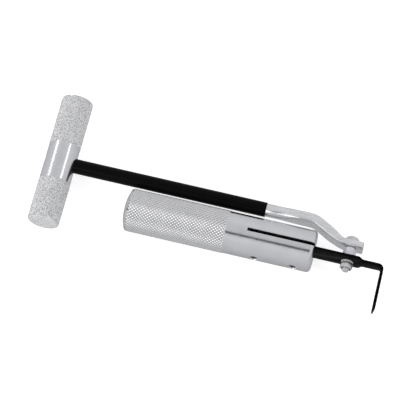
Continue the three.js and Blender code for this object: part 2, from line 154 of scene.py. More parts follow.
NUT_TURN = math.radians(18)  # about the bolt, its top flat leaning towards the grip

# Pull bar
ROD_RADIUS = 4.6
ARM_THICKNESS = 6
ARM_WIDTH = 13.2
ARM_EDGE_REACH = (1.5, 0.55)  # of the rounded edges, across the thickness and the width
EYE_THICKNESS = 4.2
EYE_CORNER_RADIUS = 1.2
JOGGLE_RADII = (16, 12)
JOGGLE_FROM_BOLT = (28, 6.5)
EYE_TAPER_FROM_BOLT = 16
FLATTENING_FROM_BOLT = (56, 36)
RING_SPACING = 0.6  # along the shaped part of the rod
ROD_CORE_RADIUS = 4.1
ROD_SCREW_HOLE_RADIUS = 2.1
ROD_SCREW_HOLE_DEPTH = 8
CORE_CLEARANCE = 0.3  # round the rod's core, in the sleeve and the tee
SLEEVE_EDGE_RADII = (0.25, 0.3)
SLEEVE_BORE_EDGE_RADIUS = 0.1

# Tee handle
TEE_RADIUS = 11.25
TEE_SMOOTH_RADIUS = 11.05
TEE_END_RADIUS = 2.2
TEE_END_DOME = 0.5
TEE_BAND = (-15.9, 12.6)  # smooth band, from the rod axis
TEE_KNURL_TEETH = 38
TEE_KNURL_LEAD = 1.9
TEE_KNURL_DEPTH = 0.3
TEE_KNURL_SETBACK = 0.8  # of the knurl's start from the domed end
TEE_BAND_DROP = 0.05  # of the smooth band's outermost ring
TEE_BAND_RINGS = (0.3, 0.5, 0.7)  # inside the band's edges
TEE_SOCKET_END = -2
TEE_SEAT = (0.3, 0.12)  # the sleeve's seat in the tee: clearance at its end and round it
TEE_COUNTERBORE_RADIUS = 3.8
TEE_SCREW_HEAD_LENGTH = 4
TEE_SCREW_HEAD_GAP = 0.3
TEE_SCREW_SHANK_RADIUS = 1.8
TEE_SCREW_SOCKET_FLATS = 3
TEE_SCREW_SOCKET_DEPTH = 2


def span(node):
    """Lowest and highest corner of a CAD node, in millimetres from the middle of the grip."""
    low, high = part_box(node)
    return (low - ORIGIN) / MM, (high - ORIGIN) / MM


GRIP = span("grip_body")
BLADE = span("blade")
NUT = span("pivot_nut")
SLEEVE = span("rod_sleeve")
TEE = span("tee_grip")
ROD = span("pull_rod")
BOLT_X = (NUT[0].x + NUT[1].x) / 2
ROD_Y = (SLEEVE[0].y + SLEEVE[1].y) / 2
TEE_X = (TEE[0].x + TEE[1].x) / 2
EYE_Y = (span("pivot_bolt")[1].y - HEAD_HEIGHT + span("pivot_spacer")[1].y) / 2
BLADE_HALF = -span("lock_washer")[1].y - GAP  # half its thickness
BEND_FACE_X = GRIP[1].x + BLADE_REACH


# ---- outlines ----

def filleted(corners, steps=8):
    """Points of a line through corners (x, y, radius), each corner rounded to its radius."""
    points = []
    for i, (x, y, radius) in enumerate(corners):
        corner = Vector((x, y))
        if not radius:
            points.append(corner)
            continue
        before = (Vector(corners[i - 1][:2]) - corner).normalized()
        after = (Vector(corners[(i + 1) % len(corners)][:2]) - corner).normalized()
        half = before.angle(after) / 2
        centre = corner + (before + after).normalized() * radius / math.sin(half)
        start = corner + before * radius / math.tan(half) - centre
        turn = math.pi - 2 * half
        if before.x * after.y - before.y * after.x > 0:
            turn = -turn
        for k in range(steps + 1):
            points.append(centre + Matrix.Rotation(turn * k / steps, 2) @ start)
    return points


def hexagon(across_flats, turn=0):
    radius = across_flats / math.sqrt(3)
    angles = [turn + math.radians(60 * k) for k in range(6)]
    return [Vector((radius * math.cos(a), radius * math.sin(a))) for a in angles]


def end_drop(distance, radius):
    """How far a bar's surface falls at a distance from its rounded end."""
    inside = max(0.0, radius - distance)
    return radius - math.sqrt(max(0.0, radius ** 2 - inside ** 2))


# ---- solids, in millimetres ----

def across(axis, along, first, second):
    """A point at `along` on an axis, with its two other coordinates."""
    return {"X": (along, first, second), "Y": (first, along, second), "Z": (first, second, along)}[axis]


def solid(bm):
    """A scratch object from a bmesh."""
    bmesh.ops.remove_doubles(bm, verts=bm.verts, dist=1e-5)
    bmesh.ops.recalc_face_normals(bm, faces=bm.faces)
    mesh = bpy.data.meshes.new("solid")
    bm.to_mesh(mesh)
    bm.free()
    obj = bpy.data.objects.new("solid", mesh)
    bpy.context.collection.objects.link(obj)
    return obj


def turned(profile, axis, centre, around, ring=False):
    """A solid of revolution from (along, radius) points. A ring's profile closes on itself."""
    bm = bmesh.new()
    rows = []
    for along, radius in profile:
        if radius < 1e-6:
            rows.append([bm.verts.new(across(axis, along, *centre))] * around)
            continue
        row = []
        for k in range(around):
            angle = 2 * math.pi * k / around
            side = (centre[0] + radius * math.cos(angle), centre[1] + radius * math.sin(angle))
            row.append(bm.verts.new(across(axis, along, *side)))
        rows.append(row)
    pairs = list(zip(rows, rows[1:]))
    if ring:
        pairs.append((rows[-1], rows[0]))
    for low, high in pairs:
        for k in range(around):
            corners = [low[k - 1], low[k], high[k], high[k - 1]]
            unique = list(dict.fromkeys(corners))
            if len(unique) > 2:
                bm.faces.new(unique)
    return solid(bm)


def extruded(outline, axis, low, high):
    """A prism across an axis between two heights."""
    bm = bmesh.new()
    bottom = [bm.verts.new(across(axis, low, x, y)) for x, y in outline]
    top = [bm.verts.new(across(axis, high, x, y)) for x, y in outline]
    bm.faces.new(bottom)
    bm.faces.new(top)
    for k in range(len(outline)):
        bm.faces.new([bottom[k - 1], bottom[k], top[k], top[k - 1]])
    return solid(bm)


def shifted(outline, x, y):
    return [point + Vector((x, y)) for point in outline]


def lofted(rings):
    """A closed solid through rings of points, each with the same number of points."""
    bm = bmesh.new()
    rows = [[bm.verts.new(point) for point in ring] for ring in rings]
    for low, high in zip(rows, rows[1:]):
        for k in range(len(low)):
            bm.faces.new([low[k - 1], low[k], high[k], high[k - 1]])
    bm.faces.new(rows[0])
    bm.faces.new(rows[-1])
    return solid(bm)


def settle(obj):
    """Applies an object's modifiers."""
    depsgraph = bpy.context.evaluated_depsgraph_get()
    mesh = bpy.data.meshes.new_from_object(obj.evaluated_get(depsgraph))
    obj.modifiers.clear()
    obj.data = mesh
    return obj


def combined(target, others, operation):
    for other in others:
        modifier = target.modifiers.new("boolean", "BOOLEAN")
        modifier.operation = operation
        modifier.solver = "EXACT"
        modifier.object = other
        settle(target)
        bpy.data.objects.remove(other)
    return target


def cut(target, *cutters):
    return combined(target, cutters, "DIFFERENCE")


def common(target, *others):
    return combined(target, others, "INTERSECT")


def fused(target, *others):
    return combined(target, others, "UNION")


def gathered(target, *others):
    """One object that holds several separate closed shells."""
    bm = bmesh.new()
    for obj in (target, *others):
        bm.from_mesh(obj.data)
        bpy.data.objects.remove(obj)
    return solid(bm)


def softened(obj, width, segments=2, angle=35):
    """Rounds an object's sharp edges."""
    bm = bmesh.new()
    bm.from_mesh(obj.data)
    bmesh.ops.remove_doubles(bm, verts=bm.verts, dist=0.004)
    flat = math.radians(0.5)
    bmesh.ops.dissolve_limit(bm, angle_limit=flat, verts=bm.verts, edges=bm.edges)
    bm.to_mesh(obj.data)
    bm.free()
    modifier = obj.modifiers.new("edges", "BEVEL")
    modifier.width = width
    modifier.segments = segments
    modifier.limit_method = "ANGLE"
    modifier.angle_limit = math.radians(angle)
    modifier.harden_normals = False
    return settle(obj)


def bore(axis, centre, radius, low, high, around=64):
    return turned([(low, 0), (low, radius), (high, radius), (high, 0)], axis, centre, around)


def chamfered_hole(axis, centre, radius, chamfer, depth, mouth):
    """A cutter for a blind hole that opens at `mouth` and runs towards larger values for `depth`."""
    outside = mouth - CLEAR
    flare = radius + chamfer
    profile = [(outside, 0), (outside, flare), (mouth, flare), (mouth + chamfer, radius)]
    profile += [(mouth + depth, radius), (mouth + depth, 0)]
    return turned(profile, axis, centre, 64)


def knurled(radius, depth, teeth, lead, ends, bar, end_radius, axis, centre):
    """A knurled band: rows of truncated diamonds between two crossing sets of V grooves.

    ends are where the band starts and stops, and bar is where the rounded bar itself ends.
    """
    bm = bmesh.new()
    first = math.floor(2 * ends[0] / lead) - 2
    last = math.ceil(2 * ends[1] / lead) + 2

    def surface(a, b, sunk):
        """The point where groove numbers a and b cross, sunk below the crests."""
        along = lead * (a - b) / 2
        angle = math.pi * (a + b) / teeth
        nearest = min(along - bar[0], bar[1] - along)
        reach = radius - end_drop(max(0.0, nearest), end_radius) - sunk
        first_side = centre[0] + reach * math.cos(angle)
        second_side = centre[1] + reach * math.sin(angle)
        return across(axis, along, first_side, second_side)

    roots = {}
    for row in range(first, last + 2):
        for a in range(teeth):
            roots[row, a] = bm.verts.new(surface(a, a - row, depth))
    for row in range(first + 1, last + 1):
        for a in range(teeth):
            b = a - row
            grid = [(a, b), (a + 1, b), (a + 1, b + 1), (a, b + 1)]
            corners = [roots[p - q, p % teeth] for p, q in grid]
            middle = (a + 0.5, b + 0.5)
            top = []
            for p, q in grid:
                crest_a = middle[0] + KNURL_FLAT * (p - middle[0])
                crest_b = middle[1] + KNURL_FLAT * (q - middle[1])
                top.append(bm.verts.new(surface(crest_a, crest_b, 0)))
            bm.faces.new(top)
            for k in range(4):
                bm.faces.new([corners[k - 1], corners[k], top[k], top[k - 1]])
    for at, outward in ((ends[0], -1), (ends[1], 1)):
        everything = bm.verts[:] + bm.edges[:] + bm.faces[:]
        trimmed = bmesh.ops.bisect_plane(
            bm, geom=everything, dist=1e-6, plane_co=across(axis, at, 0, 0),
            plane_no=across(axis, outward, 0, 0), clear_outer=True)
        rim = [item for item in trimmed["geom_cut"] if isinstance(item, bmesh.types.BMEdge)]
        bmesh.ops.edgeloop_fill(bm, edges=rim)
    return solid(bm)


def thread(axis_x, root, crest, pitch, low, high):
    """A helical ridge wound along +Y round an axis at axis_x, run out at both ends."""
    steps = THREAD_STEPS
    rings = []
    count = int((high - low) / pitch * steps)
    for k in range(count + 1):
        angle = 2 * math.pi * k / steps
        along = low + pitch * k / steps
        run_out = min(1, k / (steps / 3), (count - k) / (steps / 3))
        top = root + (crest - root) * run_out
        ring = []
        bed = root - THREAD_BED
        for radius, offset in ((bed, -THREAD_ROOT_HALF), (top, -THREAD_CREST_HALF),
                               (top, THREAD_CREST_HALF), (bed, THREAD_ROOT_HALF)):
            x = axis_x + radius * math.cos(angle)
            ring.append((x, along + offset * pitch, radius * math.sin(angle)))
        rings.append(ring)
    return lofted(rings)


# ---- materials ----

class Surface:
    """A Principled material, with short ways to build the textures that feed it."""

    def __init__(self, name, metallic, **sockets):
        self.material = bpy.data.materials.new(name)
        self.material.use_nodes = True
        self.tree = self.material.node_tree
        self.shader = self.tree.nodes["Principled BSDF"]
        self.shader.inputs["Metallic"].default_value = metallic
        for socket, value in sockets.items():
            self.shader.inputs[socket.replace("_", " ")].default_value = value
        self.where = self.node("ShaderNodeTexCoord").outputs["Object"]

    def node(self, kind, **settings):
        made = self.tree.nodes.new(kind)
        for key, value in settings.items():
            setattr(made, key, value)
        return made

    def link(self, source, target):
        self.tree.links.new(source, target)

    def noise(self, scale, detail, stretch=(1, 1, 1)):
        """Noise with `scale` features per metre, more along an axis with a larger stretch."""
        mapping = self.node("ShaderNodeMapping")
        mapping.inputs["Scale"].default_value = stretch
        texture = self.node("ShaderNodeTexNoise")
        texture.inputs["Scale"].default_value = scale
        texture.inputs["Detail"].default_value = detail
        self.link(self.where, mapping.inputs["Vector"])
        self.link(mapping.outputs["Vector"], texture.inputs["Vector"])
        return texture.outputs["Fac"]

    def ramp(self, value, *stops):
        """Colours (or greys) at positions between 0 and 1."""
        made = self.node("ShaderNodeValToRGB")
        points = made.color_ramp.elements
        while len(points) < len(stops):
            points.new(0.5)
        for point, (position, shade) in zip(points, stops):
            point.position = position
            point.color = (*shade, 1) if isinstance(shade, tuple) else (shade, shade, shade, 1)
        self.link(value, made.inputs["Fac"])
        return made.outputs["Color"]

    def blend(self, first, second, factor, mode="MIX"):
        """Two colours mixed, with `factor` of the second."""
        made = self.node("ShaderNodeMix", data_type="RGBA", blend_type=mode)
        for socket, source in (("A", first), ("B", second)):
            target = [i for i in made.inputs if i.name == socket and i.type == "RGBA"][0]
            self.link(source, target)
        made.inputs["Factor"].default_value = factor
        return [o for o in made.outputs if o.type == "RGBA"][0]

    def product(self, first, second):
        return self.blend(first, second, 1.0, "MULTIPLY")

    def from_axis(self, axis, centre, inner, outer):
        """0 at `inner` millimetres from an axis and 1 at `outer`."""
        offset = self.node("ShaderNodeVectorMath", operation="SUBTRACT")
        point = across(axis, 0, *centre)
        offset.inputs[1].default_value = ORIGIN + Vector(point) * MM
        flat = self.node("ShaderNodeVectorMath", operation="MULTIPLY")
        flat.inputs[1].default_value = across(axis, 0, 1, 1)
        distance = self.node("ShaderNodeVectorMath", operation="LENGTH")
        scaled = self.node("ShaderNodeMapRange")
        scaled.inputs["From Min"].default_value = inner * MM
        scaled.inputs["From Max"].default_value = outer * MM
        self.link(self.where, offset.inputs[0])
        self.link(offset.outputs[0], flat.inputs[0])
        self.link(flat.outputs[0], distance.inputs[0])
        self.link(distance.outputs["Value"], scaled.inputs["Value"])
        return scaled.outputs["Result"]

    def colour(self, source):
        self.link(source, self.shader.inputs["Base Color"])

    def roughness(self, source):
        self.link(source, self.shader.inputs["Roughness"])

    def bump(self, height, distance):
        """Adds relief of `distance` metres, on top of any added before."""
        made = self.node("ShaderNodeBump")
        made.inputs["Distance"].default_value = distance
        normal = self.shader.inputs["Normal"]
        if normal.is_linked:
            self.link(normal.links[0].from_socket, made.inputs["Normal"])
        self.link(height, made.inputs["Height"])
        self.link(made.outputs["Normal"], normal)


def turned_aluminium(name, axis):
    """Bright turned aluminium: fine rings from the tool, faint clouding and a few handling marks."""
    surface = Surface(name, 1)
    rings = surface.noise(700, 2, across(axis, 14, 0.25, 0.25))
    clouds = surface.noise(120, 4)
    marks = surface.noise(900, 5, across(axis, 0.3, 2.5, 2.5))
    surface.colour(surface.ramp(clouds, (0.3, (0.77, 0.775, 0.785)), (0.7, (0.83, 0.835, 0.845))))
    scuffed = surface.blend(surface.ramp(rings, (0.25, 0.15), (0.75, 0.24)),
                            surface.ramp(marks, (0.45, 0.15), (0.7, 0.34)), 0.35)
    surface.roughness(scuffed)
    surface.bump(rings, 0.000006)
    surface.bump(marks, 0.000003)
    return surface.material


def knurled_aluminium(name, axis, centre, radius, depth, groove, wear, metallic=1.0):
    """Cold-rolled diamonds: burnished crests, duller grooves darkened by dirt and by painted shade.

    groove is the colour at the bottom of the grooves, dirt and painted shade together, and wear
    that of the patches where the crests are bruised, 1 for none.
    """
    surface = Surface(name, metallic)
    height = surface.from_axis(axis, centre, radius - depth, radius)
    grain = surface.noise(2500, 4)
    clouds = surface.noise(150, 4)
    # painted shade: the colour darkens towards the bottom of the grooves, for dirt there and for the
    # shade that falls in them
    groove_dirt_and_shade = surface.ramp(height, (0.0, groove), (0.4, (0.96, 0.965, 0.97)), (0.7, 1.0))
    bruises = surface.noise(1050, 2)
    tone = surface.product(surface.ramp(clouds, (0.3, 0.93), (0.7, 1.0)),
                           surface.ramp(bruises, (0.42, wear), (0.52, 1.0)))
    surface.colour(surface.product(groove_dirt_and_shade, tone))
    worn = surface.blend(surface.ramp(height, (0.0, 0.45), (0.3, 0.32), (1.0, 0.2)),
                         surface.ramp(grain, (0.3, 0.2), (0.7, 0.4)), 0.3)
    surface.roughness(worn)
    surface.bump(grain, 0.000012)
    return surface.material


def peened_aluminium(name):
    """An end face with the mottled, slightly hammered look of tumbled aluminium."""
    surface = Surface(name, 0.6)
    dents = surface.noise(850, 3)
    surface.colour(surface.ramp(dents, (0.4, (0.7, 0.705, 0.71)), (0.6, (0.97, 0.975, 0.98))))
    surface.roughness(surface.ramp(dents, (0.3, 0.45), (0.7, 0.28)))
    surface.bump(dents, 0.00008)
    return surface.material


def black_oxide(name, metal_shade):
    """Blackened steel strip: nearly black with a faint green-brown cast and rubbed patches."""
    surface = Surface(name, 0.0, Specular_IOR_Level=0.03)
    clouds = surface.noise(220, 5)
    grain = surface.noise(2200, 5, (0.25, 1, 1))
    surface.colour(surface.ramp(clouds, (0.3, (0.001, 0.0012, 0.001)), (0.75, metal_shade)))
    surface.roughness(surface.ramp(grain, (0.3, 0.34), (0.75, 0.52)))
    surface.bump(grain, 0.000012)
    return surface.material


def worn_steel(name):
    """Grey set-screw steel with brighter rubbed patches and fine pitting."""
    surface = Surface(name, 0.9)
    clouds = surface.noise(600, 4)
    pits = surface.noise(2400, 2)
    rubbed = surface.ramp(clouds, (0.3, (0.1, 0.1, 0.102)), (0.7, (0.3, 0.3, 0.3)))
    surface.colour(surface.product(rubbed, surface.ramp(pits, (0.62, 1.0), (0.72, 0.4))))
    surface.roughness(surface.ramp(clouds, (0.3, 0.5), (0.7, 0.3)))
    surface.bump(pits, 0.000012)
    return surface.material


def ground_steel(name):
    """Freshly ground cutting edge with grinding lines across it."""
    surface = Surface(name, 1)
    lines = surface.noise(900, 3, (1, 12, 1))
    surface.colour(surface.ramp(lines, (0.3, (0.36, 0.36, 0.37)), (0.7, (0.6, 0.6, 0.6))))
    surface.roughness(surface.ramp(lines, (0.3, 0.24), (0.7, 0.42)))
    surface.bump(lines, 0.000008)
    return surface.material


def zinc_plate(name, tint, painted_shade_from=None):
    """Bright zinc with a slight colour cast, orange-peel ripple and dull specks.

    The last argument, a distance from the pivot's axis, is where painted shade starts: the colour is
    painted near black out to a little past it and fades back beyond, the shade in the countersink round
    the bolt.
    """
    surface = Surface(name, 0.88)
    clouds = surface.noise(420, 4)
    peel = surface.noise(1500, 3)
    specks = surface.noise(3200, 2)
    dark = tuple(0.7 * c for c in tint)
    base = surface.ramp(clouds, (0.3, dark), (0.7, tint))
    plate = surface.product(base, surface.ramp(specks, (0.62, 1.0), (0.75, 0.55)))
    # painted shade: the colour near the bolt's axis is painted dark, for the shade in the nut's
    # countersink
    if painted_shade_from:
        near_axis = surface.from_axis("Y", (BOLT_X, 0), painted_shade_from, painted_shade_from + PAINTED_SHADE_FADE)
        plate = surface.product(plate, surface.ramp(near_axis, (0.5, 0.03), (1.0, 1.0)))
    surface.colour(plate)
    surface.roughness(surface.ramp(clouds, (0.3, 0.2), (0.7, 0.36)))
    surface.bump(peel, 0.00001)
    return surface.material


def pale_zinc(name, dark, light):
    """Dull pale zinc, finely mottled between two shades."""
    surface = Surface(name, 0.25)
    clouds = surface.noise(380, 4)
    grain = surface.noise(2600, 3)
    surface.colour(surface.ramp(clouds, (0.3, dark), (0.7, light)))
    surface.roughness(surface.ramp(grain, (0.3, 0.36), (0.7, 0.55)))
    surface.bump(grain, 0.000012)
    return surface.material


def plated_rod(name):
    """Forged and plated rod: lengthwise drawing lines, shallow dents, a few dark pits."""
    surface = Surface(name, 1)
    drawn = surface.noise(900, 4, (0.12, 1, 1))
    dents = surface.noise(160, 3)
    pits = surface.noise(700, 2)
    base = surface.ramp(drawn, (0.3, (0.8, 0.805, 0.81)), (0.7, (0.95, 0.955, 0.96)))
    surface.colour(surface.product(base, surface.ramp(pits, (0.66, 1.0), (0.74, 0.4))))
    surface.roughness(surface.ramp(drawn, (0.3, 0.2), (0.7, 0.38)))
    surface.bump(dents, 0.00012)
    surface.bump(drawn, 0.000014)
    return surface.material


def black_sleeve(name):
    """Smooth black plastic sleeve with faint lengthwise flow lines and dust-fine specks."""
    surface = Surface(name, 0, Specular_IOR_Level=0.06)
    flow = surface.noise(500, 3, (0.08, 1, 1))
    dust = surface.noise(2600, 2)
    surface.colour(surface.ramp(dust, (0.66, (0.0025, 0.0025, 0.003)), (0.78, (0.02, 0.02, 0.021))))
    surface.roughness(surface.ramp(flow, (0.3, 0.24), (0.7, 0.36)))
    surface.bump(flow, 0.00002)
    return surface.material


# ---- finished pieces ----

def piece(name, shape, materials, body, nodes, smooth=32):
    """Turns a scratch solid into a finished piece in metres that stands for CAD nodes."""
    mesh = shape.data
    mesh.transform(Matrix.Translation(ORIGIN) @ Matrix.Scale(MM, 4))
    mesh.name = name
    shape.name = name
    for material in materials:
        mesh.materials.append(material)
    mesh.shade_smooth()
    mesh.set_sharp_from_angle(angle=math.radians(smooth))
    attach(shape, body)
    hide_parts(*nodes)
    return shape


def paint(obj, index, chosen):
    """Gives the faces that `chosen` picks the material with that index."""
    for polygon in obj.data.polygons:
        if chosen(polygon):
            polygon.material_index = index


def grip_profile(rear, front, radius, knurl_start, knurl_end):
    """(along, radius) of the turned grip: domed rear, bar under the knurl, smooth half, front."""
    under = radius - GRIP_KNURL_DEPTH - KNURL_BED
    rim = radius - GRIP_REAR_RADIUS
    profile = [(rear, 0.0), (rear, END_FLAT_RADIUS)]
    for k in range(1, 13):
        t = k / 12
        profile.append((rear + GRIP_REAR_DOME * t * t, END_FLAT_RADIUS + (rim - END_FLAT_RADIUS) * t))
    stop = math.asin(1 - GRIP_KNURL_SETBACK / GRIP_REAR_RADIUS)
    for k in range(1, 9):
        angle = min(stop + math.pi / 2 * (1 - k / 8), math.pi / 2)
        along = rear + GRIP_REAR_DOME + GRIP_REAR_RADIUS * (1 - math.sin(angle))
        profile.append((along, rim + GRIP_REAR_RADIUS * math.cos(angle)))
    lip = knurl_end - GRIP_BAND_OVERLAP
    profile += [(knurl_start, under), (lip, under)]
    smooth = [(lip, radius - GRIP_BAND_DROP, 0)]
    smooth += [(knurl_end + ring, GRIP_SMOOTH_RADIUS, 0) for ring in GRIP_BAND_RINGS]
    smooth += [(front, GRIP_SMOOTH_RADIUS, GRIP_FRONT_RADIUS), (front, 0, 0)]
    return profile + [tuple(point) for point in filleted(smooth, steps=10)]


def slot_cutter(front, beyond):
    """A cutter for the slot right through the grip, with its long edges rounded at both mouths."""
    flare = SLOT_HALF + SLOT_EDGE_RADIUS
    level = math.sqrt(GRIP_SMOOTH_RADIUS ** 2 - flare ** 2)
    edge = [(flare, beyond), (flare, level)]
    for k in range(1, 6):
        angle = math.pi / 2 * k / 5
        edge.append((flare - SLOT_EDGE_RADIUS * math.sin(angle),
                     level - SLOT_EDGE_RADIUS * (1 - math.cos(angle))))
    side = edge + [(y, -z) for y, z in reversed(edge)]
    return extruded(side + [(-y, -z) for y, z in side], "X", front - SLOT_DEPTH, front + CLEAR)


def grip():
    rear, front = GRIP[0].x, GRIP[1].x
    radius = GRIP[1].z
    knurl_start = rear + GRIP_REAR_DOME + GRIP_KNURL_SETBACK
    knurl_end = rear + GRIP_KNURL_LENGTH
    profile = grip_profile(rear, front, radius, knurl_start, knurl_end)
    cutters = [slot_cutter(front, radius + CLEAR)]
    for screw in ("clamp_screw_front", "clamp_screw_rear"):
        low, high = span(screw)
        centre = ((low.x + high.x) / 2, 0)
        cutters.append(chamfered_hole("Y", centre, CLAMP_HOLE_RADIUS, CLAMP_HOLE_CHAMFER,
                                      GRIP_SMOOTH_RADIUS, -GRIP_SMOOTH_RADIUS + CLAMP_HOLE_SINK))
    body = cut(turned(profile, "X", (0, 0), HANDLE_STEPS), *cutters)
    band = knurled(radius, GRIP_KNURL_DEPTH, GRIP_KNURL_TEETH, GRIP_KNURL_LEAD,
                   (knurl_start, knurl_end), (rear + GRIP_REAR_DOME, front), GRIP_REAR_RADIUS,
                   "X", (0, 0))
    paint(band, 1, lambda polygon: True)
    skins = [turned_aluminium("grip turned", "X"),
             knurled_aluminium("grip knurl", "X", (0, 0), radius, GRIP_KNURL_DEPTH, 0.26, 0.97)]
    piece("grip", gathered(body, band), skins, "grip", ["grip_body"], 48)


def clamp_screw(node, material):
    """A socket set screw with its hexagon socket towards -Y and a thread along its length."""
    low, high = span(node)
    x = (low.x + high.x) / 2
    radius = (high.x - low.x) / 2
    body = radius - CLAMP_SCREW_INSET
    taper, narrowing = CLAMP_SCREW_POINT
    profile = [(low.y, 0), (low.y, radius - CLAMP_SCREW_LEAD), (low.y + CLAMP_SCREW_LEAD, body),
               (high.y - taper, body), (high.y, radius - narrowing), (high.y, 0)]
    screw = turned(profile, "Y", (x, 0), 64)
    socket = extruded(shifted(hexagon(CLAMP_SOCKET_FLATS), x, 0), "Y",
                      low.y - 1, low.y + CLAMP_SOCKET_DEPTH)
    mouth = [(low.y + depth, width) for depth, width in CLAMP_SOCKET_CHAMFER]
    lead_in = turned([(mouth[0][0], 0), *mouth, (mouth[1][0], 0)], "Y", (x, 0), 48)
    screw = softened(cut(screw, socket, lead_in), 0.06)
    root_inset, crest_reach = CLAMP_THREAD
    ridge = thread(x, radius - root_inset, radius + crest_reach, BOLT_PITCH,
                   low.y + BOLT_PITCH, high.y - BOLT_PITCH)
    piece(node + "_detail", gathered(screw, ridge), [material], node, [node])


def leg_face(y, depth):
    """Where the leg's surface lies at y, `depth` inside its outer face."""
    normal = Vector((math.cos(LEG_LEAN), math.sin(LEG_LEAN)))
    bend = Vector((BEND_FACE_X - BEND_OUTER_RADIUS, BLADE_HALF - BEND_OUTER_RADIUS))
    distance = normal.dot(bend) + BEND_OUTER_RADIUS
    return (distance - depth - normal.y * y) / normal.x


def blade_outline(rear, tip):
    """The bent strip seen from the side, in the plane of the bend."""
    half = BLADE_HALF
    thick = 2 * half
    return filleted([
        (rear, -half, 0),
        (leg_face(-half, thick), -half, BEND_INNER_RADIUS),
        (leg_face(tip, thick), tip, TIP_RADII[0]),
        (leg_face(tip, thick - TIP_THICKNESS), tip, TIP_RADII[1]),
        (leg_face(tip + TIP_BEVEL, 0), tip + TIP_BEVEL, TIP_BEVEL_RADIUS),
        (leg_face(half, 0), half, BEND_OUTER_RADIUS),
        (rear, half, 0)], steps=12)


def blade_width(rear, wide):
    """The strip's outline across its width: wide in the grip, narrower past the bolt."""
    shoulder = BOLT_X + SHOULDER_FROM_BOLT
    shoulder_corner = shoulder + SHOULDER_EASE
    neck_corner = shoulder + SHOULDER_LENGTH - SHOULDER_EASE
    beyond = BEND_FACE_X + CLEAR
    return filleted([
        (rear, -wide, STRIP_CORNER_RADIUS), (shoulder_corner, -wide, SHOULDER_RADIUS),
        (neck_corner, -BLADE_NARROW_HALF, SHOULDER_RADIUS), (beyond, -BLADE_NARROW_HALF, 0),
        (beyond, BLADE_NARROW_HALF, 0), (neck_corner, BLADE_NARROW_HALF, SHOULDER_RADIUS),
        (shoulder_corner, wide, SHOULDER_RADIUS), (rear, wide, STRIP_CORNER_RADIUS)], steps=10)


def edge_grinder(tip):
    """A cutter that grinds the leg's lower side to an edge."""
    thick = 2 * BLADE_HALF
    rise = EDGE_BEVEL / (thick - EDGE_THICKNESS)
    low = -BLADE_NARROW_HALF
    below = low - WEDGE_OVERRUN * rise
    wedge = []
    for y in (-BEND_OUTER_RADIUS, tip - 1):
        edge_x = leg_face(y, EDGE_THICKNESS)
        inner_x = leg_face(y, thick) - 1
        wedge.append([(edge_x + WEDGE_OVERRUN, y, below), (inner_x, y, below),
                      (inner_x, y, low + rise * (edge_x - inner_x))])
    return lofted(wedge)


def blade():
    """The L-shaped strip: its side outline, cut to its width, with a ground lower edge on the leg."""
    half = BLADE_HALF
    rear, tip, wide = BLADE[0].x, BLADE[0].y, BLADE[1].z
    strip = extruded(blade_outline(rear, tip), "Z", -wide, wide)
    width = extruded(blade_width(rear, wide), "Y", tip - CLEAR, half + CLEAR)
    shape = common(strip, width)
    shape = cut(shape, bore("Y", (BOLT_X, 0), BOLT_HOLE_RADIUS, -half - 1, half + 1))
    shape = softened(cut(shape, edge_grinder(tip)), 0.14, 2, 40)
    skins = [black_oxide("blade black", (0.0045, 0.005, 0.0042)), ground_steel("blade edge")]
    shape = piece("blade_detail", shape, skins, "blade", ["blade"])
    leg_top = ORIGIN.y - BEND_OUTER_RADIUS * MM
    paint(shape, 1, lambda p: p.normal.x < -0.3 and p.normal.z < -0.2 and p.center.y < leg_top)


def hex_piece(low, high, low_radius, high_radius, turn=0):
    """A hexagon about the bolt, its corners trimmed by 30 degree cones at the ends with a radius."""
    outer = HEX_ACROSS_FLATS / math.sqrt(3) + 0.5
    slope = math.tan(math.radians(30))
    profile = [(low, 0)]
    if low_radius:
        profile += [(low, low_radius), (low + (outer - low_radius) * slope, outer)]
    else:
        profile += [(low, outer)]
    if high_radius:
        profile += [(high - (outer - high_radius) * slope, outer), (high, high_radius)]
    else:
        profile += [(high, outer)]
    profile.append((high, 0))
    prism = extruded(shifted(hexagon(HEX_ACROSS_FLATS, turn), BOLT_X, 0), "Y", low - 1, high + 1)
    return common(prism, turned(profile, "Y", (BOLT_X, 0), 96))


def drilled(shape, low, high, hole):
    """A piece about the bolt with a hole through it, countersunk at both ends."""
    near_reach, near_depth = NUT_COUNTERSINK
    far_reach, far_depth = FAR_COUNTERSINK
    drill = [(low - 1, 0), (low - 1, hole + near_reach), (low + near_depth, hole),
             (high - far_depth, hole), (high + 1, hole + far_reach), (high + 1, 0)]
    return cut(shape, turned(drill, "Y", (BOLT_X, 0), 64))


def pivot_bolt(material):
    low, high = span("pivot_bolt")
    head_low = high.y - HEAD_HEIGHT
    head = softened(hex_piece(head_low, high.y, None, HEAD_TOP_RADIUS), 0.15, 3)
    thread_end = NUT[0].y + BOLT_THREAD_INTO_NUT
    length, narrowing, rounding = BOLT_POINT
    shank = [(low.y, 0, 0), (low.y, BOLT_ROOT_RADIUS - narrowing, rounding),
             (low.y + length, BOLT_ROOT_RADIUS, 0), (thread_end, BOLT_ROOT_RADIUS, 0),
             (thread_end + 0.5, BOLT_RADIUS, 0), (head_low + 1, BOLT_RADIUS, 0), (head_low + 1, 0, 0)]
    stem = turned(filleted(shank), "Y", (BOLT_X, 0), 64)
    ridge = thread(BOLT_X, BOLT_ROOT_RADIUS, BOLT_RADIUS, BOLT_PITCH, low.y + BOLT_THREAD_SETBACK,
                   thread_end)
    shape = gathered(head, stem, ridge)
    piece("pivot_bolt_detail", shape, [material], "blade", ["pivot_bolt"])


def pivot_spacer(material):
    low, high = span("pivot_spacer")
    shape = hex_piece(low.y, high.y, None, SPACER_TOP_RADIUS)
    shape = softened(drilled(shape, low.y, high.y, BOLT_HOLE_RADIUS), 0.12)
    piece("pivot_spacer_detail", shape, [material], "blade",
          ["pivot_spacer"])


